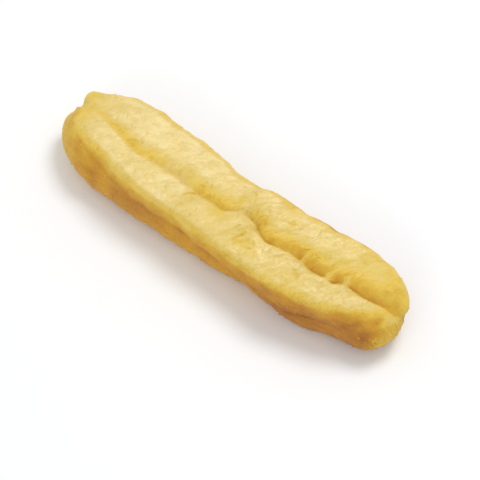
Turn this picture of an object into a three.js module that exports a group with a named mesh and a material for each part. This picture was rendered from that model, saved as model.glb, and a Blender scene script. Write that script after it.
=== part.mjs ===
// Youtiao, a deep-fried dough stick.
// Two strips of dough are laid one on the other and pressed together along the middle. In the hot oil they
// puff up into two strands, front and rear, that stay joined: a deep groove runs between them above and
// below, and a seam runs along each side where the upper strip meets the lower one. The stick is one solid.
// Millimetres, +Z up. +X runs along the stick, -Y is the front strand's side, and the origin is under its
// middle, on the table.

import * as THREE from "three";
import { ParametricGeometry } from "three/addons/geometries/ParametricGeometry.js";

// Driving sizes.
const LENGTH = 220; // tip to tip
const HALF = LENGTH / 2;
const GOLDEN_CRUST = 0xe3b964;

// The groove between the strands. GROOVE_WANDER is how far it runs to the rear (+Y) of a straight line, at
// nine even stations from the left tip to the right. GROOVE_DEPTH is how far apart the strands stand at the
// same stations: at 1 they would only touch, and lower numbers run them together.
const GROOVE_WANDER = [8, 0, -6, -5.6, -6.5, -6.6, -6.2, -2.4, 5.2];
const GROOVE_STEPS = [
  { at: -53, spread: 7, rise: -1.2 },
  { at: -42, spread: 12, rise: 1 },
  { at: -21.5, spread: 3, rise: -1 },
  { at: -13, spread: 6, rise: -0.9 },
  { at: 1, spread: 6, rise: -2.2 },
  { at: 12.5, spread: 10, rise: 6 }, // the front strand bulges over the groove
  { at: 20, spread: 4, rise: 1.2 },
  { at: 30.5, spread: 5, rise: -1.1 },
  { at: 46, spread: 8, rise: 1.3 },
  { at: 51, spread: 3.5, rise: 0.7 },
  { at: 60, spread: 6, rise: -1 },
  { at: 67.5, spread: 2.5, rise: 0.2 },
  { at: 71, spread: 3, rise: -1.4 },
  { at: 78, spread: 3.5, rise: 1.2 },
  { at: 98, spread: 7, rise: 1.4 },
];
const GROOVE_DEPTH = [0.7, 0.78, 0.85, 0.88, 0.9, 0.91, 0.9, 0.82, 0.3];
const GROOVE_FILLET = [2.2, 2, 1.8, 1.8, 1.6, 1.6, 1.6, 1.6, 3.5]; // how softly the strands run together
const FRONT_FILLET = [5, 11, 6, 2.8, 2.2, 2.2, 2.2, 2.6, 9]; // and the two strips of each strand
const REAR_FILLET = [7, 4, 2.6, 2.2, 2.2, 2.2, 2.2, 2.4, 5];

// The dough that puffed: one entry for each strip of each strand, with its sizes at the same nine stations.
// reach is how far out it stands from the straight line, crown and foot are its highest and lowest heights,
// tips are where it ends at the left and right, and rounding is the length of each rounded end.
// squareness is 2 for an oval section and more for a flatter top, and follow is its share of the groove's
// steps.
const PUFFS = [
  {
    side: -1, // upper strip, front strand
    reach: [4, 15.2, 22.4, 24, 24.5, 26.4, 26.8, 19.2, 5],
    crown: [26, 31, 33, 33, 34, 32.5, 33, 31, 27],
    foot: [17, 17, 17, 17, 16, 13.5, 14, 15, 16],
    tips: [-104, 104.5],
    rounding: [22, 23],
    swells: [],
    squareness: 3.2,
    follow: 1,
  },
  {
    side: -1, // lower strip, front strand
    reach: [16, 24.4, 26.6, 25.3, 25, 22, 24.6, 19.5, 15.2],
    crown: [25, 27.5, 25.5, 24, 23, 20.5, 21.5, 24.5, 26],
    foot: [2, 0.4, -0.4, -0.4, -0.4, -0.4, -0.4, 0, 2],
    tips: [-110.6, 108.6],
    rounding: [22, 13],
    swells: [],
    squareness: 2,
    follow: 0.3,
  },
  {
    side: 1, // upper strip, rear strand
    reach: [14.5, 24.4, 25.3, 23.6, 21.4, 22, 23, 23.4, 20.2],
    crown: [26, 32, 34, 33, 32, 33, 34.5, 34.5, 31],
    foot: [11, 12, 13, 13, 13, 13, 13, 12, 11],
    tips: [-107, 107.5],
    rounding: [3.5, 20],
    swells: [
      { at: -31, spread: 7, rise: -0.8 },
      { at: -9, spread: 8, rise: -1.6 }, // a waist
      { at: 86, spread: 6, rise: 0.8 },
    ],
    squareness: 2.6,
    follow: 1,
  },
  {
    side: 1, // lower strip, rear strand
    reach: [11.7, 24.2, 25, 23.3, 21.6, 21.8, 22.6, 23, 18.4],
    crown: [25, 25, 23, 22, 21, 21, 22, 25, 25],
    foot: [2, 0.4, -0.4, -0.4, -0.4, -0.4, -0.4, 0, 2],
    tips: [-105.5, 106],
    rounding: [8, 18],
    swells: [],
    squareness: 2,
    follow: 0.3,
  },
];

// Uneven puffing: lumps that cross the dough at a slant, each with its height and its length along X, Y, Z.
const LUMPS = [
  { height: 0.34, long: 47, wide: 80, tall: 60, start: 0.4 },
  { height: 0.26, long: 27, wide: -52, tall: 44, start: 2 },
  { height: 0.14, long: 15.5, wide: 34, tall: -30, start: 4.1 },
  { height: 0.08, long: 9.5, wide: -60, tall: 26, start: 1.3 },
];

// Dents (and, where the depth is negative, blisters) in the upper side, each at its place along X and Y.
const DENTS = [
  { x: -16, y: -8, spread: 3.5, depth: 0.4 }, // beside the groove
  { x: 19, y: -12, spread: 2.6, depth: 0.6 }, // wrinkles in the front strand
  { x: 25, y: -15.5, spread: 2.6, depth: 0.7 },
  { x: 31, y: -17.5, spread: 2.6, depth: 0.5 },
  { x: 56, y: -14, spread: 3, depth: 0.7 },
  { x: 35.5, y: 9, spread: 3, depth: 0.7 },
  { x: 77, y: 2, spread: 3.6, depth: 0.6 }, // a pucker in the rear strand
  { x: 13, y: 5, spread: 3, depth: 0.2 }, // a fold across the rear strand
  { x: 11, y: 10, spread: 3.2, depth: 0.2 },
  { x: 8, y: 15, spread: 3.5, depth: 0.2 },
  { x: -19, y: -19, spread: 4, depth: 0.5 }, // folds across the front strand
  { x: -15, y: -13, spread: 3.5, depth: 0.4 },
  { x: -59, y: -14, spread: 4, depth: 0.4 },
  { x: -60, y: -8, spread: 3.5, depth: 0.4 },
  { x: 22, y: -17.5, spread: 3, depth: 0.4 }, // shallow hollows between the folds
  { x: 46, y: -20.5, spread: 4, depth: 0.45 },
  { x: 64, y: -21.5, spread: 3.5, depth: 0.4 },
  { x: 38.5, y: 2.5, spread: 3.5, depth: 0.5 },
  { x: 46, y: 5, spread: 4, depth: 0.4 },
  { x: 57, y: 5.5, spread: 4, depth: 0.4 },
  { x: 96, y: 8, spread: 4.5, depth: -0.5 }, // blisters
  { x: -62, y: 10, spread: 5, depth: -0.4 },
];
const DENTS_FROM = [18, 26]; // they fade in over these heights

// The faces: rings along the stick and over each end, and points round a ring.
const BODY_RINGS = 78;
const END_RINGS = 10;
const RING_POINTS = 60;
const CROWDING = 0.4; // draws the points round a ring together at the groove on top
const END_CENTRE = 92; // the ends fan out from here, either side of the middle
const CORE_HEIGHT = 16; // height of the line inside the dough that the surface is measured from
const CORE_FOLLOW = 0.6; // that line's share of the groove's steps
const FARTHEST = 40; // no dough lies farther than this from that line
const HALVINGS = 40;

// Smooth value at x through numbers given at even stations along the stick.
function along(values, x) {
  const last = values.length - 1;
  const place = THREE.MathUtils.clamp(((x + HALF) / LENGTH) * last, 0, last);
  const i = Math.min(Math.floor(place), last - 1);
  const t = place - i;
  const [p0, p1, p2, p3] = [i - 1, i, i + 1, i + 2].map((k) => values[THREE.MathUtils.clamp(k, 0, last)]);
  const slopeIn = (p2 - p0) / 2;
  const slopeOut = (p3 - p1) / 2;
  const t2 = t * t;
  const t3 = t2 * t;
  return (
    (2 * t3 - 3 * t2 + 1) * p1 + (t3 - 2 * t2 + t) * slopeIn + (3 * t2 - 2 * t3) * p2 + (t3 - t2) * slopeOut
  );
}

// Sum of local swellings (or dents) along the stick.
function swelling(swells, x) {
  return swells.reduce((sum, s) => sum + s.rise * Math.exp(-(((x - s.at) / s.spread) ** 2)), 0);
}

function grooveAt(x, follow) {
  return along(GROOVE_WANDER, x) + follow * swelling(GROOVE_STEPS, x);
}

// 1 along the middle of a puff, falling to 0 as a round end and below 0 past the tip.
function endRounding(puff, x) {
  const past = Math.max(
    (puff.tips[0] + puff.rounding[0] - x) / puff.rounding[0],
    (x - puff.tips[1] + puff.rounding[1]) / puff.rounding[1],
    0,
  );
  return past < 1 ? Math.sqrt(1 - past * past) : 1 - past;
}

// Roughly how far a point lies outside one puffed strip: negative inside.
function outsidePuff(puff, x, y, z) {
  const groove = grooveAt(x, puff.follow);
  const depth = along(GROOVE_DEPTH, x);
  const outer = puff.side * (along(puff.reach, x) + swelling(puff.swells, x));
  const halfWidth = Math.abs(outer - groove) / (1 + depth);
  const centreY = groove + puff.side * depth * halfWidth;
  const crown = along(puff.crown, x);
  const foot = along(puff.foot, x);
  const halfHeight = (crown - foot) / 2;
  const centreZ = (crown + foot) / 2;
  const n = puff.squareness;
  const across = Math.abs((y - centreY) / halfWidth);
  const up = Math.abs((z - centreZ) / halfHeight);
  const share = (across ** n + up ** n) ** (1 / n);
  return (share - endRounding(puff, x)) * Math.min(halfWidth, halfHeight);
}

// The smaller of two distances, with the corner between them filled over a width.
function smoothMin(a, b, width) {
  const near = Math.max(width - Math.abs(a - b), 0) / width;
  return Math.min(a, b) - (near * near * width) / 4;
}

// How far the crust is raised (or, below 0, sunk) at a point by lumps and dents.
function unevenness(x, y, z) {
  const lumps = LUMPS.reduce(
    (sum, w) => sum + w.height * Math.sin(2 * Math.PI * (x / w.long + y / w.wide + z / w.tall) + w.start),
    0,
  );
  const dents = DENTS.reduce(
    (sum, d) => sum + d.depth * Math.exp(-((x - d.x) ** 2 + (y - d.y) ** 2) / d.spread ** 2),
    0,
  );
  return lumps - dents * THREE.MathUtils.smoothstep(z, ...DENTS_FROM);
}

function outsideDough(x, y, z) {
  const [upperFront, lowerFront, upperRear, lowerRear] = PUFFS.map((puff) => outsidePuff(puff, x, y, z));
  const front = smoothMin(upperFront, lowerFront, along(FRONT_FILLET, x));
  const rear = smoothMin(upperRear, lowerRear, along(REAR_FILLET, x));
  return smoothMin(front, rear, along(GROOVE_FILLET, x)) - unevenness(x, y, z);
}

// Point of the surface: u goes round the stick, v from the left tip to the right one.
function crust(u, v, target) {
  const rings = BODY_RINGS + 2 * END_RINGS;
  const ring = v * rings;
  const before = Math.max(END_RINGS - ring, 0) / END_RINGS;
  const after = Math.max(ring - END_RINGS - BODY_RINGS, 0) / END_RINGS;
  const lean = (after - before) * (Math.PI / 2);
  const body = THREE.MathUtils.clamp((ring - END_RINGS) / BODY_RINGS, 0, 1);
  const core = new THREE.Vector3((2 * body - 1) * END_CENTRE, 0, CORE_HEIGHT);
  core.y = grooveAt(core.x, CORE_FOLLOW);
  const fromGroove = u * 2 * Math.PI;
  const turn = fromGroove - CROWDING * Math.sin(fromGroove) + Math.PI / 2;
  const way = new THREE.Vector3(
    Math.sin(lean),
    Math.cos(lean) * Math.cos(turn),
    Math.cos(lean) * Math.sin(turn),
  );
  let inside = 0;
  let outside = FARTHEST;
  for (let k = 0; k < HALVINGS; k++) {
    const middle = (inside + outside) / 2;
    target.copy(core).addScaledVector(way, middle);
    if (outsideDough(target.x, target.y, target.z) < 0) inside = middle;
    else outside = middle;
  }
  target.z = Math.max(target.z, 0); // it sits flat where it touches the table
  return target;
}

// Moves a shape so that the origin is under the middle of its box, on the table.
function standOnOrigin(geometry) {
  geometry.computeBoundingBox();
  const middle = geometry.boundingBox.getCenter(new THREE.Vector3());
  return geometry.translate(-middle.x, -middle.y, -geometry.boundingBox.min.z);
}

function friedDough() {
  return new THREE.MeshStandardMaterial({ color: GOLDEN_CRUST, roughness: 0.62, metalness: 0 });
}

const stick = new THREE.Mesh(
  standOnOrigin(new ParametricGeometry(crust, RING_POINTS, BODY_RINGS + 2 * END_RINGS)),
  friedDough(),
);
stick.name = "dough_stick";

const youtiao = new THREE.Group();
youtiao.add(stick);

export default youtiao;
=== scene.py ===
# Youtiao, a deep-fried dough stick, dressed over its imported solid. Metres, +Z up, in the solid's own frame.

import math

import bpy
import numpy as np
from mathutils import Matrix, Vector


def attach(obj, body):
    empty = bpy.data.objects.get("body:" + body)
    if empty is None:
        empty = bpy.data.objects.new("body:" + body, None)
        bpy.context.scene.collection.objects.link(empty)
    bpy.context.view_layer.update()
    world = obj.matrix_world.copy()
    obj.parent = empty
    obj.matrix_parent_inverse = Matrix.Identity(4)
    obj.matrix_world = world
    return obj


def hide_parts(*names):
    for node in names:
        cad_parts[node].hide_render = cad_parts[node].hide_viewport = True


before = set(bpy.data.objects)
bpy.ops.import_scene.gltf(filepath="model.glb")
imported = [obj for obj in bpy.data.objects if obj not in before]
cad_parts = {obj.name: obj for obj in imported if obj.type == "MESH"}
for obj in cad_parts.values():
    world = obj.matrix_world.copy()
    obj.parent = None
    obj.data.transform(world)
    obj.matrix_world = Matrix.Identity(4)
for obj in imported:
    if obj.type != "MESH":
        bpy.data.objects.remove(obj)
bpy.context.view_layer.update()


# The dough stick. Two strips of wheat dough, laid one on the other and pressed together along the middle,
# were stretched and fried in deep oil. They puffed into a front and a rear strand with a groove between.
# The strips' upper faces tore open as they rose and stayed pale, and the crust browned along the seams.

MM = 0.001
LENGTH = 220.0  # all sizes of the dough are in millimetres until its mesh is made
HALF = LENGTH / 2

GROOVE_WANDER = [8, 0, -6, -5.6, -6.5, -6.6, -6.2, -2.4, 5.2]  # nine even stations, left tip to right tip
GROOVE_STEPS = [  # at, spread, rise
    (-53, 7, -1.2),
    (-42, 12, 1),
    (-21.5, 3, -1),
    (-13, 6, -0.9),
    (1, 6, -2.2),
    (12.5, 10, 6),
    (20, 4, 1.2),
    (30.5, 5, -1.1),
    (46, 8, 1.3),
    (51, 3.5, 0.7),
    (60, 6, -1),
    (67.5, 2.5, 0.2),
    (71, 3, -1.4),
    (78, 3.5, 1.2),
    (98, 7, 1.4),
]
GROOVE_DEPTH = [0.7, 0.78, 0.85, 0.88, 0.9, 0.91, 0.9, 0.82, 0.3]
GROOVE_FILLET = [2.2, 2.0, 1.6, 1.6, 1.3, 1.1, 1.3, 1.2, 3.5]
CRACKS = [  # at, spread, depth: where the groove gapes
    (31, 6.5, 0.4),
    (60.5, 5.5, 0.2),
    (72, 2, 0.4),
    (90, 11, 0.7),
]
BRIDGES = [  # at, spread, share: where dough fills the groove
    (52.8, 1.4, 0.7),
    (69, 2.2, 0.7),
    (77.8, 1.5, 0.8),
]
FRONT_FILLET = [5.0, 11.0, 6.0, 2.8, 2.2, 2.2, 2.2, 2.6, 9.0]  # how softly its two strips run together
REAR_FILLET = [7.0, 4.0, 2.6, 2.2, 2.2, 2.2, 2.2, 2.4, 5.0]

UPPER_FRONT = dict(
    side=-1,
    reach=[4, 15.2, 22.4, 24, 24.5, 26.4, 26.8, 19.2, 5],
    crown=[26, 31, 33, 33, 34, 32.5, 33, 31, 27],
    foot=[17, 17, 17, 17, 16, 13.5, 14, 15, 16],
    tips=(-104, 104.5),
    rounding=(22, 23),
    swells=[],
    squareness=3.2,
    follow=1.0,
)
LOWER_FRONT = dict(
    side=-1,
    reach=[16, 24.4, 26.6, 25.3, 25, 22, 24.6, 19.5, 15.2],
    crown=[25, 27.5, 25.5, 24, 23, 20.5, 21.5, 24.5, 26],
    foot=[2, 0.4, -0.4, -0.4, -0.4, -0.4, -0.4, 0, 2],
    tips=(-110.6, 108.6),
    rounding=(22, 13),
    swells=[],
    squareness=2.0,
    follow=0.3,
)
UPPER_REAR = dict(
    side=1,
    reach=[14.5, 24.4, 25.3, 23.6, 21.4, 22.0, 23.0, 23.4, 20.2],
    crown=[26, 32, 34, 33, 32, 33, 34.5, 34.5, 31],
    foot=[11, 12, 13, 13, 13, 13, 13, 12, 11],
    tips=(-107, 107.5),
    rounding=(3.5, 20),
    swells=[(-31, 7, -0.8), (-9, 8, -1.6), (86, 6, 0.8)],
    squareness=2.6,
    follow=1.0,
)
LOWER_REAR = dict(
    side=1,
    reach=[11.7, 24.2, 25.0, 23.3, 21.6, 21.8, 22.6, 23.0, 18.4],
    crown=[25, 25, 23, 22, 21, 21, 22, 25, 25],
    foot=[2, 0.4, -0.4, -0.4, -0.4, -0.4, -0.4, 0, 2],
    tips=(-105.5, 106),
    rounding=(8, 18),
    swells=[],
    squareness=2.0,
    follow=0.3,
)

LUMPS = [  # height, then length along X, Y and Z, and where the wave starts
    (0.34, 47, 80, 60, 0.4),
    (0.26, 27, -52, 44, 2.0),
    (0.14, 15.5, 34, -30, 4.1),
    (0.08, 9.5, -60, 26, 1.3),
]
DENTS = [  # x, y, spread, depth; blisters are below 0
    (-16, -8, 3.5, 0.4),  # beside the groove
    (19, -12, 2.6, 0.6),  # wrinkles in the front strand
    (25, -15.5, 2.6, 0.7),
    (31, -17.5, 2.6, 0.5),
    (56, -14, 3.0, 0.7),
    (35.5, 9, 3.0, 0.7),
    (77, 2, 3.6, 0.6),  # a pucker in the rear strand
    (13, 5, 3.0, 0.2),  # a fold across the rear strand
    (11, 10, 3.2, 0.2),
    (8, 15, 3.5, 0.2),
    (-19, -19, 4.0, 0.5),  # folds across the front strand
    (-15, -13, 3.5, 0.4),
    (-59, -14, 4.0, 0.4),
    (-60, -8, 3.5, 0.4),
    (22, -17.5, 3.0, 0.4),  # shallow hollows between the folds
    (46, -20.5, 4.0, 0.45),
    (64, -21.5, 3.5, 0.4),
    (38.5, 2.5, 3.5, 0.5),
    (46, 5, 4.0, 0.4),
    (57, 5.5, 4.0, 0.4),
    (96, 8, 4.5, -0.5),
    (-62, 10, 5.0, -0.4),
]
CREASES = [  # x and y of both ends, half width, depth
    (20.2, -10, 18, -17.5, 0.6, 0.82),
    (15.4, -8.8, 12, -17, 0.6, 0.55),
    (24.8, -12.6, 19.5, -18.9, 0.6, 0.75),
    (26.6, -12.1, 28.6, -14, 0.6, 0.75),
    (24.4, -17.6, 28, -16.4, 0.6, 0.65),
    (-19, -11.8, -15.8, -7.2, 0.6, 0.9),
    (33.5, 8, 37.5, 9, 0.6, 0.8),
    (53.5, -12.6, 57.5, -15.2, 0.6, 0.5),
    (75, 0, 79, 4.5, 0.5, 0.2),
    (13.5, 3, 10, 12, 0.7, 0.3),
]


def along(values, x):
    """Smooth value at x through numbers given at even stations along the stick."""
    values = np.asarray(values, float)
    last = len(values) - 1
    place = np.clip((x + HALF) / LENGTH * last, 0, last)
    i = np.minimum(place.astype(int), last - 1)
    t = place - i
    p0, p1, p2, p3 = (values[np.clip(i + k, 0, last)] for k in (-1, 0, 1, 2))
    slope_in, slope_out = (p2 - p0) / 2, (p3 - p1) / 2
    t2, t3 = t * t, t * t * t
    inward = (2 * t3 - 3 * t2 + 1) * p1 + (t3 - 2 * t2 + t) * slope_in
    return inward + (3 * t2 - 2 * t3) * p2 + (t3 - t2) * slope_out


def swelling(swells, x):
    """Rounded rises along the stick, added up."""
    rises = (rise * np.exp(-(((x - at) / spread) ** 2)) for at, spread, rise in swells)
    return sum(rises, np.zeros_like(x))


def groove_line(x, follow):
    """Where the groove runs across the stick, with a share of its small steps."""
    return along(GROOVE_WANDER, x) + follow * swelling(GROOVE_STEPS, x)


def ramp(value, low, high):
    """0 below low, 1 above high, smooth between."""
    t = np.clip((value - low) / (high - low), 0, 1)
    return t * t * (3 - 2 * t)


def outside_strip(strip, x, y, z):
    """Roughly how far a point lies outside one puffed strip: negative inside."""
    groove = groove_line(x, strip["follow"])
    depth = along(GROOVE_DEPTH, x)
    outer = strip["side"] * (along(strip["reach"], x) + swelling(strip["swells"], x))
    half_width = np.abs(outer - groove) / (1 + depth)
    centre_y = groove + strip["side"] * depth * half_width
    crown, foot = along(strip["crown"], x), along(strip["foot"], x)
    half_height, centre_z = (crown - foot) / 2, (crown + foot) / 2
    n = strip["squareness"]
    across, up = np.abs((y - centre_y) / half_width), np.abs((z - centre_z) / half_height)
    share = (across**n + up**n) ** (1 / n)
    (left, right), (round_left, round_right) = strip["tips"], strip["rounding"]
    past_left, past_right = (left + round_left - x) / round_left, (x - right + round_right) / round_right
    past = np.maximum(past_left, past_right).clip(min=0)
    end = np.where(past < 1, np.sqrt(np.maximum(1 - past * past, 0)), 1 - past)
    return (share - end) * np.minimum(half_width, half_height)


def soft_min(a, b, width):
    """The lesser of two values, rounded where they come within a width of each other."""
    near = np.maximum(width - np.abs(a - b), 0) / width
    return np.minimum(a, b) - near * near * width / 4


def strands(x, y, z):
    """How far a point lies outside the upper and lower strip of the front strand, then of the rear one."""
    return [outside_strip(s, x, y, z) for s in (UPPER_FRONT, LOWER_FRONT, UPPER_REAR, LOWER_REAR)]


def off_crease(x, y, x1, y1, x2, y2):
    """Distance from a straight crease, seen from above."""
    run_x, run_y = x2 - x1, y2 - y1
    share = np.clip(((x - x1) * run_x + (y - y1) * run_y) / (run_x**2 + run_y**2), 0, 1)
    return np.hypot(x - x1 - share * run_x, y - y1 - share * run_y)


def round_spots(spots, x, y):
    """Soft round spots, seen from above, added up."""
    return sum(d * np.exp(-((x - at) ** 2 + (y - off) ** 2) / r**2) for at, off, r, d in spots)


def creased(x, y):
    """How deep the thin creases are at a place, seen from above."""
    return sum(d * np.exp(-((off_crease(x, y, *ends) / w) ** 2)) for *ends, w, d in CREASES)


def outside_dough(x, y, z):
    """Roughly how far a point lies outside the whole stick: negative inside."""
    upper_front, lower_front, upper_rear, lower_rear = strands(x, y, z)
    front = soft_min(upper_front, lower_front, along(FRONT_FILLET, x))
    rear = soft_min(upper_rear, lower_rear, along(REAR_FILLET, x))
    raised = sum(h * np.sin(2 * np.pi * (x / a + y / b + z / c) + s) for h, a, b, c, s in LUMPS)
    bridged = swelling(BRIDGES, x)
    cracked = swelling(CRACKS, x) * (1 - bridged) * np.exp(-(((front - rear) / 0.7) ** 2))
    sunk = (round_spots(DENTS, x, y) + creased(x, y) + cracked) * ramp(z, 18, 26)  # in the upper side alone
    return soft_min(front, rear, along(GROOVE_FILLET, x) + 5 * bridged) - raised + sunk


# The crust's mesh: rings along the stick and over each end, measured out from a line inside the dough.
BODY_RINGS, END_RINGS, AROUND = 420, 34, 200
END_CENTRE, CORE_HEIGHT, CORE_FOLLOW, FARTHEST = 92.0, 16.0, 0.6, 40.0
CROWDING = 0.4  # draws the points round a ring together at the groove


def to_crust(x, y, z, way):
    """Distance from a point inside the dough to its surface, found by halving."""
    inside, outside = np.zeros_like(x), np.full_like(x, FARTHEST)
    for _ in range(30):
        middle = (inside + outside) / 2
        within = outside_dough(x + way[0] * middle, y + way[1] * middle, z + way[2] * middle) < 0
        inside, outside = np.where(within, middle, inside), np.where(within, outside, middle)
    return inside


rings = BODY_RINGS + 2 * END_RINGS
ring = np.repeat(np.arange(rings + 1.0)[:, None], AROUND, 1)
turn = np.repeat(np.arange(AROUND)[None, :] / AROUND * 2 * np.pi, rings + 1, 0)
turn = turn - CROWDING * np.sin(turn) + np.pi / 2
past_body = np.clip(ring - END_RINGS - BODY_RINGS, 0, None) - np.clip(END_RINGS - ring, 0, None)
lean = past_body / END_RINGS * np.pi / 2
core_x = (2 * np.clip((ring - END_RINGS) / BODY_RINGS, 0, 1) - 1) * END_CENTRE
core_y = groove_line(core_x, CORE_FOLLOW)
way = np.sin(lean), np.cos(lean) * np.cos(turn), np.cos(lean) * np.sin(turn)
distance = to_crust(core_x, core_y, CORE_HEIGHT, way)
px, py = core_x + way[0] * distance, core_y + way[1] * distance
pz = np.maximum(CORE_HEIGHT + way[2] * distance, 0)

# How brown each point is, from 0 for pale torn dough to 1 for the darkest crust, at the same nine stations:
# the torn tops of both strands, the rear wall of the groove, and the crust that wraps round the sides. The
# same value also carries painted shade: in dents and creases, and at the foot near the blunt end.
FRONT_TOP = [0.62, 0.09, 0.07, 0.07, 0.2, 0.15, 0.1, 0.15, 0.4]
FRONT_REACH = [40, 40, 40, 40, 40, 40, 30, 17.5, -4]  # how far forward its torn top goes
FRONT_EDGE = [0.6, 0.6, 0.6, 0.9, 0.9, 0.1, 0, 0.2, 0.4]  # how far over the shoulder it goes
FRONT_RIM = [4, 3.5, 4, 2, 1.5, 3, 5, 6, 3]  # how far in from its edge it is golden
REAR_TOP = [0.42, 0.12, 0.03, 0.05, 0.1, 0.13, 0.14, 0.28, 0.48]
REAR_EDGE = 0.3
REAR_RIM = [6, 5, 4, 3, 3, 5, 4, 5, 6]
LIP_GOLD, FRONT_GOLD, REAR_GOLD = 0.32, 0.38, 0.34  # how golden the groove's lip and the two rims are
REAR_WALL = [0.34, 0.37, 0.43, 0.35, 0.46, 0.48, 0.54, 0.63, 0.57]
WALL_FOOT = [0.4, 0.1, -0.1, -0.2, -0.1, 0.05, 0.05, 0.2, 0.2]  # how much browner the wall is at its foot
WALL_WIDTH = [1.5, 3, 5.6, 6.2, 8, 6.6, 6.8, 5.6, 4.5]
PALE_WALL = [  # at, spread, share: where pale dough crosses the wall
    (-37, 3.5, 0.4),
    (-28, 6, 0.35),
    (10, 4.5, 0.7),
    (77, 3, 0.3),
]
PATCHES = [  # x, y, spread, how much browner
    (-44, -17, 8, 0.05),
    (-38, 4.5, 3.5, 0.12),
    (-27, -22.5, 3.5, -0.12),
    (2, -10.5, 4, 0.18),
    (17, 6, 4.5, -0.22),
    (21.5, -17.5, 5, 0.1),
    (29, -18.5, 4, 0.08),
    (35.5, 8, 2.2, 0.16),
    (45.5, -20.5, 5, 0.1),
    (55.5, -17, 4.5, 0.13),
    (55.5, -23, 3.5, 0.1),
    (76, -20, 3, 0.1),
    (71.5, 3, 3.5, 0.07),
]
CRUST = [0.55, 0.7, 0.75, 0.74, 0.7, 0.74, 0.86, 0.82, 0.76]
SHOULDER = [0.04, 0.26, 0.36, 0.37, 0.32, 0.15, 0.2, 0.27, 0.22]  # how much paler it starts at the top
SLOW_TURN = [6, 6, 2, 0, 0, 0, 0, 0, 2]  # how much longer it takes to brown on the way down
SEAM_BROWNER, LOWER_PALER, TIP_PALER = 0.05, 0.06, 0.22
TOPS_ABOVE = 12  # the torn tops are all higher than this, millimetres
TORN_FADE = 1.7  # how far they take to turn into crust

upper_front, lower_front, upper_rear, lower_rear = strands(px, py, pz)
front, rear = np.minimum(upper_front, lower_front), np.minimum(upper_rear, lower_rear)
on_front = front < rear
above_seam = np.where(on_front, lower_front - upper_front, lower_rear - upper_rear)
from_groove = np.abs(front - rear)
groove_y = groove_line(px, 1.0)
out = np.abs(py - groove_y)
from_top = (np.arange(AROUND) + AROUND // 2) % AROUND - AROUND // 2  # steps round a ring, forward above 0


def evened(ring_values):
    """One value a ring, made even along the stick."""
    return np.convolve(np.pad(ring_values, 5, mode="edge"), np.full(11, 1 / 11), "valid")[:, None]


def past_shoulder(outer_half, way_round):
    """How far below the shoulder, where the ring's flat top turns down to the side, each point lies; the
    top's height over the seam; and how far in from its edge the point is."""
    level = np.where(outer_half & (pz > TOPS_ABOVE), above_seam, -1)
    peak = level.argmax(1)
    beyond = (way_round * (from_top - from_top[peak][:, None]) > 0) | (above_seam < 0)
    height = evened(np.maximum(level.max(1), 0.5))
    below = np.where(beyond, height - above_seam, -1)
    return below, height, evened(np.where(outer_half & (below < 1), out, 0).max(1)) - out


front_outer = on_front & (py < (groove_y + py.min(1, keepdims=True)) / 2)
rear_outer = ~on_front & (py > (groove_y + py.max(1, keepdims=True)) / 2)
front_below, front_shoulder, front_in = past_shoulder(front_outer, 1)
rear_below, rear_shoulder, rear_in = past_shoulder(rear_outer, -1)
shoulder = np.where(on_front, front_shoulder, rear_shoulder)
wavy = 0.2 * np.sin(px / 6.1) + 0.15 * np.sin(px / 2.7)
below = np.where(on_front, front_below, rear_below) + wavy

# Where the tops tore open: down to the shoulder, but not where crust closes over the blunt end in front.
edge = np.where(on_front, along(FRONT_EDGE, px), REAR_EDGE)
not_closed = ramp(py + along(FRONT_REACH, px), -2, 2) * ramp(103 - px, 0, 8)
open_top = (1 - ramp(below, edge, edge + TORN_FADE)) * (pz > TOPS_ABOVE) * np.where(on_front, not_closed, 1)

# The sides brown from the shoulder down, and most of all in the seam. Below it they are a little paler, but
# darker near the blunt end, which is painted shade where its foot meets the floor, and its tip is pale.
down = np.clip(below / (shoulder + along(SLOW_TURN, px)), 0, 1) ** 0.75
low_down = np.clip(-above_seam / 6, 0, 1)
# Painted shade at the foot near the blunt end, where it meets the floor.
painted_foot_shade = 1.8 * low_down * ramp(px, 75, 95) * ramp(104 - px, 0, 6)
tip_front = (1 - ramp(px, 106, 110)) * ramp(pz, 20, 24) * ramp(-py, -2, 2)
sides = along(CRUST, px) - along(SHOULDER, px) * (1 - down)
sides = sides - LOWER_PALER * low_down * (1 - painted_foot_shade)
sides = sides + SEAM_BROWNER * np.exp(-((above_seam / 0.8) ** 2))
sides = sides - (0.13 * ramp(px, 93, 99) + 0.22 * ramp(px, 101, 105)) * tip_front
sides = sides - TIP_PALER * ramp(px, 102, 107.5)

# The tops are golden at their rims and on the rear wall of the groove. Painted shade makes them darker in
# dents and creases, and the same term makes them a little paler on the two blisters.
front_top = np.maximum(along(FRONT_TOP, px), LIP_GOLD * (1 - ramp(from_groove, 0.2, 1.6)))
front_rim = 1 - ramp(front_in, 0, along(FRONT_RIM, px))
front_top = front_top + (FRONT_GOLD - front_top).clip(min=0) * front_rim
width = along(WALL_WIDTH, px)
wall = (1 - swelling(PALE_WALL, px)) * (1 - ramp(from_groove, 0.35 * width, 1.6 * width))
wall = wall * (1 - swelling(BRIDGES, px) * (1 - ramp(from_groove, 2, 6)))
wall = wall * (1 + along(WALL_FOOT, px) * np.exp(-((from_groove / 1.5) ** 2)))
rear_top = along(REAR_TOP, px) + (along(REAR_WALL, px) - along(REAR_TOP, px)) * wall
rear_rim = 1 - ramp(rear_in, 0, along(REAR_RIM, px))
rear_top = rear_top + (REAR_GOLD - rear_top).clip(min=0) * rear_rim
# Painted shade in the dents and creases, added to the browner patches.
marked = round_spots(PATCHES, px, py) + 0.1 * round_spots(DENTS, px, py) + 0.2 * creased(px, py)
top = np.where(on_front, front_top, rear_top) + marked
browning = sides + (top - sides) * open_top

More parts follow.
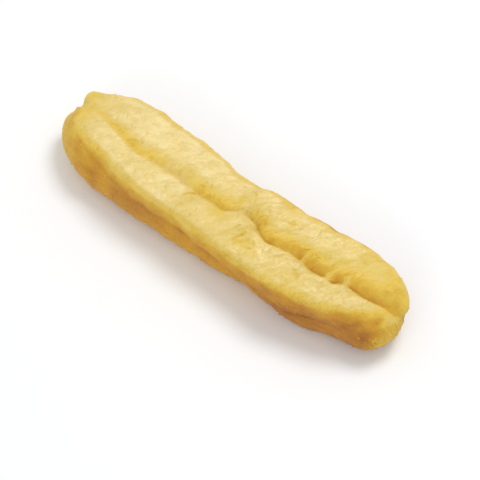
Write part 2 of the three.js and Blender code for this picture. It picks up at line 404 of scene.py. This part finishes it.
# How strongly the torn dough was drawn into fibres: more in the right half, less at the rear strand's end.
front_drawn = 0.75 + 0.5 * ramp(px, -5, 25)
rear_drawn = 0.78 + 0.6 * ramp(px, -10, 20) - 0.6 * ramp(px, 70, 92)
drawn = np.where(on_front, front_drawn, rear_drawn)
stretched = open_top * ramp(0.6 - browning, 0.0, 0.25) * drawn

# Where flakes lift: on the torn tops near the groove, most at its lips; and where crumbs fried on.
flaky = open_top * (0.3 + np.exp(-((from_groove / 2.5) ** 2))) * (1 - ramp(from_groove, 8, 13))
flaky = flaky * ramp(px, -100, -90)
crumbly = ramp(px, 96, 106) * on_front * (1 - ramp(pz, 15, 22)) + 0.04 * (1 - open_top) * (pz > 5)

# Girth is the distance round each ring from the top of the groove, for the stretch marks that run round it.
step = np.sqrt((np.diff(py, axis=1, append=py[:, :1])) ** 2 + (np.diff(pz, axis=1, append=pz[:, :1])) ** 2)
girth = np.concatenate([np.zeros((rings + 1, 1)), np.cumsum(step, 1)[:, :-1]], 1)
total = step.sum(1, keepdims=True)
girth = np.where(girth > total / 2, girth - total, girth)

points = np.stack([px, py, pz], -1)
low, high = points.reshape(-1, 3).min(0), points.reshape(-1, 3).max(0)
centring = np.array([(low[0] + high[0]) / 2, (low[1] + high[1]) / 2, low[2]])
points -= centring


def joined_poles(grid):
    """Values of the grid as one list, with the first and last ring each taken as a single point."""
    return np.concatenate([grid[:1, 0], grid[1:-1].reshape(-1, *grid.shape[2:]), grid[-1:, 0]])


faces = []
end_pole = 1 + (rings - 1) * AROUND
for i in range(rings):
    for j in range(AROUND):
        k = (j + 1) % AROUND
        a, b = 1 + (i - 1) * AROUND + j, 1 + (i - 1) * AROUND + k
        c, d = b + AROUND, a + AROUND
        if i == 0:
            faces.append((0, c, d))
        elif i == rings - 1:
            faces.append((a, b, end_pole))
        else:
            faces.append((a, b, c, d))
plain = bpy.data.meshes.new("plain_dough")
plain.from_pydata((joined_poles(points) * MM).tolist(), [], faces)
marks = {
    "browning": browning,
    "stretched": stretched,
    "flaky": flaky,
    "crumbly": crumbly,
    "run": px * MM,
    "girth": girth * MM,
}
for name, values in marks.items():
    mark = plain.attributes.new(name, "FLOAT", "POINT")
    mark.data.foreach_set("value", joined_poles(values).astype(np.float32))
plain.shade_smooth()


def add(tree, kind, inputs=None, output=0, **settings):
    """Adds a node with its settings and links, and returns one of its outputs, where it has any."""
    made = tree.nodes.new(kind)
    for name, value in settings.items():
        setattr(made, name, value)
    for key, value in (inputs or {}).items():
        if isinstance(value, bpy.types.NodeSocket):
            tree.links.new(value, made.inputs[key])
        else:
            made.inputs[key].default_value = value
    return made.outputs[output] if made.outputs else None


def linear(hex_colour):
    """sRGB hex colour to the linear values that shaders read."""
    parts = [int(hex_colour[i : i + 2], 16) / 255 for i in (1, 3, 5)]
    return tuple(c / 12.92 if c <= 0.04045 else ((c + 0.055) / 1.055) ** 2.4 for c in parts) + (1.0,)


MATH, SPREAD, NOISE = "ShaderNodeMath", "ShaderNodeMapRange", "ShaderNodeTexNoise"


def drawn_out(tree, run, girth, spacing, length, seed):
    """Noise drawn out over the dough: its size along the stick and round it, in metres."""
    across = add(tree, MATH, {0: run, 1: spacing}, operation="DIVIDE")
    down = add(tree, MATH, {0: girth, 1: length}, operation="DIVIDE")
    spread = add(tree, "ShaderNodeCombineXYZ", {0: across, 1: down, 2: seed})
    uneven = {"Vector": spread, "Scale": 1.0, "Detail": 3.0, "Roughness": 0.6, "Distortion": 0.3}
    return add(tree, NOISE, uneven)


# Fried wheat dough: a thin, dry, slightly oily crust that lets a little light in. It is cream where it tore
# open as it rose, and it goes through gold to brown where it met the oil first.
PATCH_SIZE, GRAIN_SIZE = 0.009, 0.0016
FOLD_SIZE, HAIR_SIZE, SKIN_SIZE = (0.005, 0.011), (0.0011, 0.0042), (0.012, 0.0022)  # along and round
SLANT = 0.6  # how far the fibres lean along the stick on their way round it
WAVER = 0.016  # how far they stray, metres

crust = bpy.data.materials.new("fried_wheat_dough")
crust.use_nodes = True
tree = crust.node_tree
shader = tree.nodes["Principled BSDF"]
place = add(tree, "ShaderNodeTexCoord", output="Object")
brown_and_shade, torn, crease, run, round_it = (
    add(tree, "ShaderNodeAttribute", output="Fac", attribute_name=name)
    for name in ("browning", "stretched", "crease", "run", "girth")
)
patches = add(tree, NOISE, {"Vector": place, "Scale": 1 / PATCH_SIZE, "Detail": 4.0})
grain = add(tree, NOISE, {"Vector": place, "Scale": 1 / GRAIN_SIZE, "Detail": 3.0})
bend = add(tree, MATH, {0: patches, 1: WAVER, 2: run}, operation="MULTIPLY_ADD")
slanted = add(tree, MATH, {0: round_it, 1: SLANT, 2: bend}, operation="MULTIPLY_ADD")
folds = drawn_out(tree, slanted, round_it, *FOLD_SIZE, seed=40.5)
hairs = drawn_out(tree, slanted, round_it, *HAIR_SIZE, seed=10.8)
skin = drawn_out(tree, bend, round_it, *SKIN_SIZE, seed=3.1)
fibres = add(tree, MATH, {0: folds, 1: hairs}, operation="ADD")

uneven = add(tree, SPREAD, {0: patches, 1: 0.25, 2: 0.75, 3: -0.085, 4: 0.085})
grainy = add(tree, SPREAD, {0: grain, 1: 0.25, 2: 0.75, 3: -0.03, 4: 0.03})
uneven = add(tree, MATH, {0: uneven, 1: grainy}, operation="ADD")
streaks = add(tree, SPREAD, {0: fibres, 1: 0.7, 2: 1.3, 3: 0.1, 4: -0.1})
uneven = add(tree, MATH, {0: streaks, 1: torn, 2: uneven}, operation="MULTIPLY_ADD")
untorn = add(tree, MATH, {0: 1.0, 1: torn}, operation="SUBTRACT", use_clamp=True)
bands = add(tree, SPREAD, {0: skin, 1: 0.3, 2: 0.7, 3: -0.035, 4: 0.035})
uneven = add(tree, MATH, {0: bands, 1: untorn, 2: uneven}, operation="MULTIPLY_ADD")
# Painted shade: a little browner along the thin creases of the relief.
uneven = add(tree, MATH, {0: crease, 1: 0.08, 2: uneven}, operation="MULTIPLY_ADD")
browned_and_shaded = add(tree, MATH, {0: brown_and_shade, 1: uneven}, operation="ADD", use_clamp=True)
colours = add(tree, "ShaderNodeValToRGB", {0: browned_and_shaded})
stops = [
    (0.0, "#e9d497"),
    (0.15, "#e0c77f"),
    (0.3, "#dbc067"),
    (0.42, "#dfbd54"),
    (0.52, "#d3ad42"),
    (0.65, "#c89431"),
    (0.8, "#af762f"),
    (1.0, "#925a20"),
]
band = colours.node.color_ramp
for at, colour in stops[1:-1]:
    band.elements.new(at)
for element, (at, colour) in zip(band.elements, stops):
    element.position, element.color = at, linear(colour)
# Painted light and shade on the torn tops: the colour is brighter on raised fibres and darker between them.
paler = add(tree, SPREAD, {0: fibres, 1: 0.7, 2: 1.3, 3: -0.07, 4: 0.07})
paler = add(tree, MATH, {0: paler, 1: torn, 2: 1.0}, operation="MULTIPLY_ADD")
fibre_shaded_colours = add(tree, "ShaderNodeHueSaturation", {"Color": colours, "Value": paler})
tree.links.new(fibre_shaded_colours, shader.inputs["Base Color"])

oily = add(tree, SPREAD, {0: grain, 1: 0.3, 2: 0.7, 3: 0.42, 4: 0.6})
tree.links.new(oily, shader.inputs["Roughness"])
height = add(tree, MATH, {0: fibres, 1: torn}, operation="MULTIPLY")
height = add(tree, MATH, {0: grain, 1: 0.5, 2: height}, operation="MULTIPLY_ADD")
bump = add(tree, "ShaderNodeBump", {"Height": height, "Strength": 0.5, "Distance": 0.0003})
tree.links.new(bump, shader.inputs["Normal"])
shader.inputs["IOR"].default_value = 1.46
shader.inputs["Specular IOR Level"].default_value = 0.18
shader.inputs["Subsurface Weight"].default_value = 0.2
shader.inputs["Subsurface Radius"].default_value = (0.8, 0.5, 0.25)
shader.inputs["Subsurface Scale"].default_value = 0.0025


def sized_tree(name, sizes):
    """A node tree that takes a mesh and the named sizes, and gives back a mesh."""
    made = bpy.data.node_groups.new(name, "GeometryNodeTree")
    made.interface.new_socket("Geometry", in_out="OUTPUT", socket_type="NodeSocketGeometry")
    made.interface.new_socket("Geometry", in_out="INPUT", socket_type="NodeSocketGeometry")
    kinds = {float: "NodeSocketFloat", int: "NodeSocketInt", str: "NodeSocketString"}
    for size, value in sizes.items():
        made.interface.new_socket(size, in_out="INPUT", socket_type=kinds[type(value)])
    return made


def grown(name, start, tree, sizes):
    """Runs a node tree on a mesh and returns what it made as a plain mesh object at the origin."""
    seedling = bpy.data.objects.new(name + "_start", start)
    bpy.context.scene.collection.objects.link(seedling)
    modifier = seedling.modifiers.new("grow", "NODES")
    modifier.node_group = tree
    for item in tree.interface.items_tree:
        if item.in_out == "INPUT" and item.name in sizes:
            modifier[item.identifier] = sizes[item.name]
    depsgraph = bpy.context.evaluated_depsgraph_get()
    mesh = bpy.data.meshes.new_from_object(seedling.evaluated_get(depsgraph), depsgraph=depsgraph)
    bpy.data.objects.remove(seedling)
    mesh.name = name
    piece = bpy.data.objects.new(name, mesh)
    bpy.context.scene.collection.objects.link(piece)
    return piece


# The stretched crust: fine torn fibres, thin creases and soft wrinkles on the pale tops, and small fried
# blisters on the browned sides. The underside stays flat where it lies.
crust_sizes = {
    "Fibre spacing": 0.0018,
    "Fibre height": 0.00035,
    "Wrinkle spacing": 0.0055,
    "Wrinkle height": 0.0005,
    "Crease spacing": 0.007,
    "Crease depth": 0.00018,
    "Blister spacing": 0.0045,
    "Blister height": 0.00028,
    "Seed": 4.0,
}
relief = sized_tree("stretched_crust", crust_sizes)
given = add(relief, "NodeGroupInput").node.outputs
position = add(relief, "GeometryNodeInputPosition")
torn, run, round_it = (
    add(relief, "GeometryNodeInputNamedAttribute", {"Name": name}, data_type="FLOAT")
    for name in ("stretched", "run", "girth")
)
slanted = add(relief, MATH, {0: round_it, 1: SLANT, 2: run}, operation="MULTIPLY_ADD")

long = add(relief, MATH, {0: given["Fibre spacing"], 1: 3.3}, operation="MULTIPLY")
fibre = drawn_out(relief, slanted, round_it, given["Fibre spacing"], long, given["Seed"])
fibre = add(relief, MATH, {0: fibre, 1: 0.5}, operation="SUBTRACT")
rise = add(relief, MATH, {0: fibre, 1: given["Fibre height"]}, operation="MULTIPLY")
long = add(relief, MATH, {0: given["Wrinkle spacing"], 1: 2.2}, operation="MULTIPLY")
wrinkle = drawn_out(relief, slanted, round_it, given["Wrinkle spacing"], long, given["Seed"])
wrinkle = add(relief, MATH, {0: wrinkle, 1: 0.5}, operation="SUBTRACT")
rise = add(relief, MATH, {0: wrinkle, 1: given["Wrinkle height"], 2: rise}, operation="MULTIPLY_ADD")
long = add(relief, MATH, {0: given["Crease spacing"], 1: 1.4}, operation="MULTIPLY")
thin_crease = drawn_out(relief, slanted, round_it, given["Crease spacing"], long, seed=7.3)
thin_crease = add(relief, MATH, {0: thin_crease, 1: 0.5}, operation="SUBTRACT")
thin_crease = add(relief, MATH, {0: thin_crease}, operation="ABSOLUTE")
thin_crease = add(relief, SPREAD, {0: thin_crease, 1: 0.0, 2: 0.025, 3: 1.0, 4: 0.0})
thin_crease = add(relief, MATH, {0: thin_crease, 1: torn}, operation="MULTIPLY")
rise = add(relief, MATH, {0: rise, 1: torn}, operation="MULTIPLY")
sunk = add(relief, MATH, {0: thin_crease, 1: given["Crease depth"]}, operation="MULTIPLY")
rise = add(relief, MATH, {0: rise, 1: sunk}, operation="SUBTRACT")

fine = add(relief, MATH, {0: 1.0, 1: given["Blister spacing"]}, operation="DIVIDE")
scaled = add(relief, "ShaderNodeVectorMath", {0: position, 3: fine}, operation="SCALE")
cells = add(relief, "ShaderNodeTexVoronoi", {"Vector": scaled, "Scale": 1.0})
dome = add(relief, SPREAD, {0: cells, 1: 0.0, 2: 0.5, 3: 1.0, 4: 0.0}, interpolation_type="SMOOTHSTEP")
chance = add(relief, "FunctionNodeSeparateColor", {0: cells.node.outputs["Color"]})
few = add(relief, MATH, {0: chance, 1: 3.0}, operation="POWER")
blister = add(relief, MATH, {0: dome, 1: few}, operation="MULTIPLY")
untorn = add(relief, MATH, {0: 1.0, 1: torn}, operation="SUBTRACT", use_clamp=True)
blister = add(relief, MATH, {0: blister, 1: untorn}, operation="MULTIPLY")
rise = add(relief, MATH, {0: blister, 1: given["Blister height"], 2: rise}, operation="MULTIPLY_ADD")

LIES_BELOW, FREE_ABOVE = 0.001, 0.004  # metres over the floor
level = add(relief, "ShaderNodeSeparateXYZ", {0: position}, output="Z")
free = add(relief, SPREAD, {0: level, 1: LIES_BELOW, 2: FREE_ABOVE, 3: 0.0, 4: 1.0})
rise = add(relief, MATH, {0: rise, 1: free}, operation="MULTIPLY")
normal = add(relief, "GeometryNodeInputNormal")
offset = add(relief, "ShaderNodeVectorMath", {0: normal, 3: rise}, operation="SCALE")
marked = {"Geometry": given["Geometry"], "Name": "crease", "Value": thin_crease}
marked = add(relief, "GeometryNodeStoreNamedAttribute", marked, data_type="FLOAT", domain="POINT")
moved = add(relief, "GeometryNodeSetPosition", {"Geometry": marked, "Offset": offset})
real = add(relief, "GeometryNodeRealizeInstances", {0: moved})
dressed = add(relief, "GeometryNodeSetMaterial", {"Geometry": real, "Material": crust})
add(relief, "NodeGroupOutput", {0: dressed})

stick = grown("fried_dough_stick", plain, relief, crust_sizes)
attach(stick, "root")
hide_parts("dough_stick")


# Torn flakes and crumbs. As the tops tore open, slivers of the dough's skin lifted and dried in place, most
# of them at the lips of the groove. Crumbs from the oil fried fast at the blunt end, a few on the sides.

# Dried dough: the same crust, but too thin to hold the light that goes in, so it looks drier.
dry_flake = crust.copy()
dry_flake.name = "dried_dough"
dry_flake.node_tree.nodes["Principled BSDF"].inputs["Subsurface Weight"].default_value = 0.0

flake_sizes = {
    "Where": "flaky",
    "Density": 60000.0,  # on a square metre
    "Length": 0.0032,
    "Width": 0.0007,
    "Thickness": 0.0003,
    "Curl": 0.12,
    "Lift": 0.2,
    "Paler": 0.7,
    "Seed": 11,
}
crumb_sizes = {
    "Where": "crumbly",
    "Density": 220000.0,
    "Length": 0.0016,
    "Width": 0.0012,
    "Thickness": 0.001,
    "Curl": 0.0,
    "Lift": 0.0,
    "Paler": 0.7,
    "Seed": 5,
}
scatter = sized_tree("lifted_slivers", flake_sizes)
given = add(scatter, "NodeGroupInput").node.outputs
ball = add(scatter, "GeometryNodeMeshUVSphere", {"Segments": 8, "Rings": 5, "Radius": 1.0})
corner = add(scatter, "GeometryNodeInputPosition")
corner = add(scatter, "ShaderNodeSeparateXYZ", {0: corner}).node.outputs
half_long = add(scatter, MATH, {0: given["Length"], 1: 0.5}, operation="MULTIPLY")
half_wide = add(scatter, MATH, {0: given["Width"], 1: 0.5}, operation="MULTIPLY")
half_thick = add(scatter, MATH, {0: given["Thickness"], 1: 0.5}, operation="MULTIPLY")
taper = add(scatter, SPREAD, {0: corner["X"], 1: -1.0, 2: 1.0, 3: 1.3, 4: 0.6})
far = add(scatter, MATH, {0: corner["X"], 1: half_long}, operation="MULTIPLY")
wide = add(scatter, MATH, {0: corner["Y"], 1: half_wide}, operation="MULTIPLY")
wide = add(scatter, MATH, {0: wide, 1: taper}, operation="MULTIPLY")
bow = add(scatter, MATH, {0: corner["X"], 1: 2.0}, operation="POWER")
bow = add(scatter, MATH, {0: bow, 1: given["Curl"]}, operation="MULTIPLY")
bow = add(scatter, MATH, {0: bow, 1: half_long}, operation="MULTIPLY")
deep = add(scatter, MATH, {0: corner["Z"], 1: half_thick, 2: bow}, operation="MULTIPLY_ADD")
shaped = add(scatter, "ShaderNodeCombineXYZ", {0: far, 1: wide, 2: deep})
sliver = add(scatter, "GeometryNodeSetPosition", {"Geometry": ball, "Position": shaped})
sliver = add(scatter, "GeometryNodeSetShadeSmooth", {0: sliver})

here = add(scatter, "GeometryNodeInputNamedAttribute", {"Name": given["Where"]}, data_type="FLOAT")
crowd = add(scatter, MATH, {0: here, 1: given["Density"]}, operation="MULTIPLY")
thrown = {"Mesh": given["Geometry"], "Density": crowd, "Seed": given["Seed"]}
thrown = add(scatter, "GeometryNodeDistributePointsOnFaces", thrown).node.outputs
brown_and_shade = add(scatter, "GeometryNodeInputNamedAttribute", {"Name": "browning"}, data_type="FLOAT")
brown_and_shade = add(scatter, MATH, {0: brown_and_shade, 1: given["Paler"], 2: 0.12}, operation="MULTIPLY_ADD")
marked = {"Geometry": thrown["Points"], "Name": "browning", "Value": brown_and_shade}
marked = add(scatter, "GeometryNodeStoreNamedAttribute", marked, data_type="FLOAT", domain="POINT")
round_way = {0: (1.0, 0.0, 0.0), 1: thrown["Normal"]}
round_way = add(scatter, "ShaderNodeVectorMath", round_way, operation="CROSS_PRODUCT")
astray = {0: (-0.1, -0.3, -0.3), 1: (0.9, 0.3, 0.3), "Seed": given["Seed"]}
astray = add(scatter, "FunctionNodeRandomValue", astray, data_type="FLOAT_VECTOR")
heading = add(scatter, "ShaderNodeVectorMath", {0: round_way, 1: astray}, operation="ADD")
turned = {"Rotation": thrown["Rotation"], "Vector": heading}
turned = add(scatter, "FunctionNodeAlignRotationToVector", turned, axis="X", pivot_axis="Z")
lifted = add(scatter, "ShaderNodeCombineXYZ", {1: given["Lift"]})
turned = add(scatter, "FunctionNodeRotateRotation", {0: turned, 1: lifted}, rotation_space="LOCAL")
grades = {0: (0.5, 0.7, 0.6), 1: (1.4, 1.3, 1.3), "Seed": given["Seed"]}
grades = add(scatter, "FunctionNodeRandomValue", grades, data_type="FLOAT_VECTOR")
laid = {"Points": marked, "Instance": sliver, "Rotation": turned, "Scale": grades}
laid = add(scatter, "GeometryNodeInstanceOnPoints", laid)
real = add(scatter, "GeometryNodeRealizeInstances", {0: laid})
dressed = add(scatter, "GeometryNodeSetMaterial", {"Geometry": real, "Material": dry_flake})
add(scatter, "NodeGroupOutput", {0: dressed})

flakes = grown("torn_flakes", stick.data, scatter, flake_sizes)
crumbs = grown("fried_crumbs", stick.data, scatter, crumb_sizes)
for piece in (flakes, crumbs):
    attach(piece, "root")


# Dough strings. Where the strands pulled apart at the groove, a few threads of soft dough stayed stuck to
# both, stretched thin across it and fried hard.

STRINGS = [  # place along the groove, slant, hold on the front and rear strand, thickness; millimetres
    (52.8, 0.4, 1.6, 2.8, 0.8),
    (78, 1.2, 1.4, 5.5, 0.6),
    (76.6, -0.4, 1.4, 3.6, 0.5),
]
STRING_POINTS = 14


def on_top(x, y):
    """The point of the dough's upper side at a place."""
    rise = to_crust(np.array([x]), np.array([y]), CORE_HEIGHT, (0, 0, 1))
    return np.array([x, y, CORE_HEIGHT + rise[0]])


threads, links, thickness, tint, way_along = [], [], [], [], []
for at, slant, hold_front, hold_rear, thick in STRINGS:
    middle_y = groove_line(np.array([float(at)]), 1.0)[0]
    start, end = on_top(at - slant, middle_y - hold_front), on_top(at + slant, middle_y + hold_rear)
    for k in range(STRING_POINTS):
        share = k / (STRING_POINTS - 1)
        held = (2 * share - 1) ** 2  # 1 at both ends, 0 in the middle
        spot = start + (end - start) * share
        spot[2] += 0.1 - 0.2 * (1 - held)
        if k:
            links.append((len(threads) - 1, len(threads)))
        threads.append(((spot - centring) * MM).tolist())
        thickness.append(thick / 2 * MM * (0.75 + 0.9 * held - 0.9 * held**6))
        tint.append(0.3 + 0.08 * (1 - held))
        way_along.append(share * 0.006)
paths = bpy.data.meshes.new("string_paths")
paths.from_pydata(threads, links, [])
for name, values in (("thick", thickness), ("browning", tint), ("girth", way_along)):
    paths.attributes.new(name, "FLOAT", "POINT").data.foreach_set("value", values)

string_sizes = {"Sides": 7}
spun = sized_tree("dough_strings", string_sizes)
given = add(spun, "NodeGroupInput").node.outputs
path = add(spun, "GeometryNodeMeshToCurve", {0: given["Geometry"]})
circle = add(spun, "GeometryNodeCurvePrimitiveCircle", {"Resolution": given["Sides"], "Radius": 1.0})
thick = add(spun, "GeometryNodeInputNamedAttribute", {"Name": "thick"}, data_type="FLOAT")
tube = {"Curve": path, "Profile Curve": circle, "Scale": thick, "Fill Caps": True}
tube = add(spun, "GeometryNodeCurveToMesh", tube)
tube = add(spun, "GeometryNodeSetShadeSmooth", {0: tube})
real = add(spun, "GeometryNodeRealizeInstances", {0: tube})
dressed = add(spun, "GeometryNodeSetMaterial", {"Geometry": real, "Material": crust})
add(spun, "NodeGroupOutput", {0: dressed})
strings = grown("dough_strings", paths, spun, string_sizes)
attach(strings, "root")


# The studio: a plain pale floor and soft light all round. One large soft lamp above and behind lights the
# tops of both strands and throws a soft shadow forward. Two weaker ones fill the front and the left end.

floor_mesh = bpy.data.meshes.new("floor")
floor_mesh.from_pydata([(-3, -3, 0), (3, -3, 0), (3, 3, 0), (-3, 3, 0)], [], [(0, 1, 2, 3)])
floor = bpy.data.objects.new("floor", floor_mesh)
bpy.context.scene.collection.objects.link(floor)
paper = bpy.data.materials.new("white_paper")
paper.use_nodes = True
paper.node_tree.nodes["Principled BSDF"].inputs["Base Color"].default_value = linear("#f5f6f7")
paper.node_tree.nodes["Principled BSDF"].inputs["Roughness"].default_value = 0.9
floor_mesh.materials.append(paper)

world = bpy.data.worlds.new("studio")
world.use_nodes = True
world.node_tree.nodes["Background"].inputs["Color"].default_value = linear("#ffffff")
world.node_tree.nodes["Background"].inputs["Strength"].default_value = 0.65
bpy.context.scene.world = world


def soft_lamp(name, spot, size, power):
    """A round lamp that faces the stick."""
    lamp = bpy.data.lights.new(name, "AREA")
    lamp.shape, lamp.size, lamp.energy = "DISK", size, power
    holder = bpy.data.objects.new(name, lamp)
    holder.location = spot
    holder.rotation_euler = (-Vector(spot)).to_track_quat("-Z", "Y").to_euler()
    bpy.context.scene.collection.objects.link(holder)


soft_lamp("key_lamp", (0.1, 0.42, 0.9), 0.45, 4.35)
soft_lamp("front_fill", (0.25, -0.95, 0.4), 0.8, 2.3)
soft_lamp("side_fill", (-0.95, -0.15, 0.4), 0.8, 1.0)

# The camera looks from the front right, well above the stick, through a long lens.
AZIMUTH, ELEVATION, LENS, DISTANCE = math.radians(39.4), math.radians(54.5), 130.0, 0.893
AIM, SHIFT_RIGHT, SHIFT_DOWN = Vector((0.0007, 0.0004, 0.017)), 0.0071, 0.0117
back = Vector((
    math.sin(AZIMUTH) * math.cos(ELEVATION),
    -math.cos(AZIMUTH) * math.cos(ELEVATION),
    math.sin(ELEVATION),
))
right = Vector((math.cos(AZIMUTH), math.sin(AZIMUTH), 0))
above = back.cross(right)
camera = bpy.data.objects.new("camera", bpy.data.cameras.new("camera"))
camera.data.lens, camera.data.sensor_width = LENS, 36.0
camera.data.clip_start, camera.data.clip_end = 0.05, 20.0
camera.location = AIM + back * DISTANCE + right * SHIFT_RIGHT - above * SHIFT_DOWN
camera.rotation_euler = (-back).to_track_quat("-Z", "Y").to_euler()
bpy.context.scene.collection.objects.link(camera)
bpy.context.scene.camera = camera
bpy.context.scene.view_settings.view_transform = "Standard"
